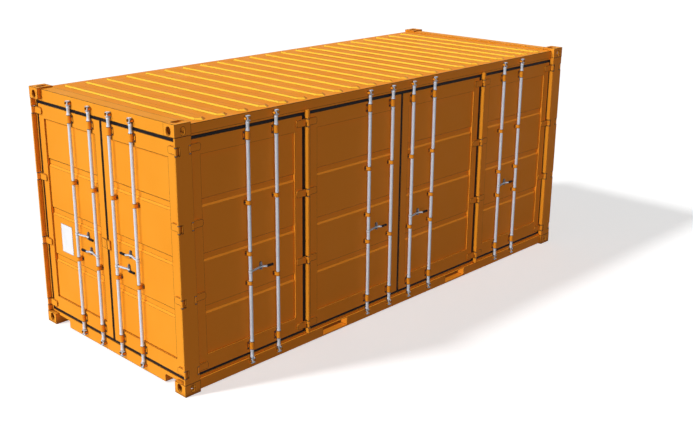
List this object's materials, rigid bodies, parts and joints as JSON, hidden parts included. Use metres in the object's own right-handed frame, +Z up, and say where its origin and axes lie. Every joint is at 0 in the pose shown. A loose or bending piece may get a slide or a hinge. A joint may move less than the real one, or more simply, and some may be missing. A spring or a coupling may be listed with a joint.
{
  "type": "side door shipping container",
  "caption": "Steel freight container with hinged doors at both ends, folding doors along one side, lock rods, ribbed roof, corner castings and fork pockets.",
  "frame": {"origin": "on the ground under the middle of the container", "axes": "+X along the length, away from the end whose doors open; the folding side faces -Y; +Z up"},
  "size_m": [6.058, 2.438, 2.591],
  "materials": {
    "body_paint": "semi-gloss enamel",
    "roof_paint": "semi-gloss enamel",
    "gasket_rubber": "matt",
    "galvanised_rod": "zinc coated",
    "hinge_steel": "plated",
    "floor_plywood": "sealed plywood",
    "underframe_paint": "matt coating",
    "bare_plate": "gloss"
  },
  "bodies": {
    "container": {"corner_castings_bottom": "body_paint", "corner_castings_top": "body_paint", "corner_posts": "body_paint", "cross_members": "underframe_paint", "door_side_rail": "body_paint", "end_headers": "body_paint", "end_sills": "body_paint", "far_catches": "hinge_steel", "far_doors": "body_paint", "far_gaskets": "gasket_rubber", "far_hinge_blades": "body_paint", "far_rod_holders": "body_paint", "far_rods": "galvanised_rod", "floor_boards": "floor_plywood", "fork_pockets": "underframe_paint", "hinge_pins": "hinge_steel", "rod_keepers": "body_paint", "roof_panel": "roof_paint", "side_catches": "hinge_steel", "side_door_1": "body_paint", "side_door_2": "body_paint", "side_door_3": "body_paint", "side_door_4": "body_paint", "side_gaskets": "gasket_rubber", "side_header": "body_paint", "side_hinge_bars": "body_paint", "side_hinge_blades": "body_paint", "side_rod_holders": "body_paint", "side_wall": "body_paint", "wall_side_rail": "body_paint", "wall_top_rail": "body_paint"},
    "end_door_left": {"end_door_left": "body_paint", "end_gasket_left": "gasket_rubber", "end_hinge_blades_left": "body_paint", "end_rod_holders_left": "body_paint", "hasp_plate_left": "body_paint", "end_catches_left": "hinge_steel", "blank_plate": "bare_plate"},
    "end_door_right": {"end_door_right": "body_paint", "end_gasket_right": "gasket_rubber", "end_hinge_blades_right": "body_paint", "end_rod_holders_right": "body_paint", "hasp_plate_right": "body_paint", "end_catches_right": "hinge_steel"},
    "end_rod_outer_left": {"end_rod_outer_left": "galvanised_rod"},
    "end_rod_inner_left": {"end_rod_inner_left": "galvanised_rod"},
    "end_rod_outer_right": {"end_rod_outer_right": "galvanised_rod"},
    "end_rod_inner_right": {"end_rod_inner_right": "galvanised_rod"},
    "side_rod_1": {"side_rod_1": "galvanised_rod"},
    "side_rod_2": {"side_rod_2": "galvanised_rod"},
    "side_rod_3": {"side_rod_3": "galvanised_rod"},
    "side_rod_4": {"side_rod_4": "galvanised_rod"},
    "side_rod_5": {"side_rod_5": "galvanised_rod"},
    "side_rod_6": {"side_rod_6": "galvanised_rod"},
    "side_rod_7": {"side_rod_7": "galvanised_rod"},
    "side_rod_8": {"side_rod_8": "galvanised_rod"}
  },
  "joints": [
    {"name": "end_door_left_swing", "type": "hinge", "parent": "container", "child": "end_door_left", "pos_m": [-3.016, 1.206, 0], "axis": [0, 0, 1], "range_deg": [-265, 0]},
    {"name": "end_door_right_swing", "type": "hinge", "parent": "container", "child": "end_door_right", "pos_m": [-3.016, -1.206, 0], "axis": [0, 0, -1], "range_deg": [-265, 0]},
    {"name": "end_rod_outer_left_turn", "type": "hinge", "parent": "end_door_left", "child": "end_rod_outer_left", "pos_m": [-3.006, 0.526, 0], "axis": [0, 0, -1], "range_deg": [0, 90]},
    {"name": "end_rod_inner_left_turn", "type": "hinge", "parent": "end_door_left", "child": "end_rod_inner_left", "pos_m": [-3.006, 0.169, 0], "axis": [0, 0, 1], "range_deg": [0, 90]},
    {"name": "end_rod_outer_right_turn", "type": "hinge", "parent": "end_door_right", "child": "end_rod_outer_right", "pos_m": [-3.006, -0.526, 0], "axis": [0, 0, 1], "range_deg": [0, 90]},
    {"name": "end_rod_inner_right_turn", "type": "hinge", "parent": "end_door_right", "child": "end_rod_inner_right", "pos_m": [-3.006, -0.169, 0], "axis": [0, 0, -1], "range_deg": [0, 90]},
    {"name": "side_rod_1_turn", "type": "hinge", "parent": "container", "child": "side_rod_1", "pos_m": [-2.1895, -1.196, 0], "axis": [0, 0, -1], "range_deg": [0, 90]},
    {"name": "side_rod_2_turn", "type": "hinge", "parent": "container", "child": "side_rod_2", "pos_m": [-1.8355, -1.196, 0], "axis": [0, 0, -1], "range_deg": [0, 90]},
    {"name": "side_rod_3_turn", "type": "hinge", "parent": "container", "child": "side_rod_3", "pos_m": [-0.526, -1.196, 0], "axis": [0, 0, -1], "range_deg": [0, 90]},
    {"name": "side_rod_4_turn", "type": "hinge", "parent": "container", "child": "side_rod_4", "pos_m": [-0.169, -1.196, 0], "axis": [0, 0, -1], "range_deg": [0, 90]},
    {"name": "side_rod_5_turn", "type": "hinge", "parent": "container", "child": "side_rod_5", "pos_m": [0.169, -1.196, 0], "axis": [0, 0, -1], "range_deg": [0, 90]},
    {"name": "side_rod_6_turn", "type": "hinge", "parent": "container", "child": "side_rod_6", "pos_m": [0.526, -1.196, 0], "axis": [0, 0, -1], "range_deg": [0, 90]},
    {"name": "side_rod_7_turn", "type": "hinge", "parent": "container", "child": "side_rod_7", "pos_m": [1.8355, -1.196, 0], "axis": [0, 0, -1], "range_deg": [0, 90]},
    {"name": "side_rod_8_turn", "type": "hinge", "parent": "container", "child": "side_rod_8", "pos_m": [2.1895, -1.196, 0], "axis": [0, 0, -1], "range_deg": [0, 90]}
  ]
}
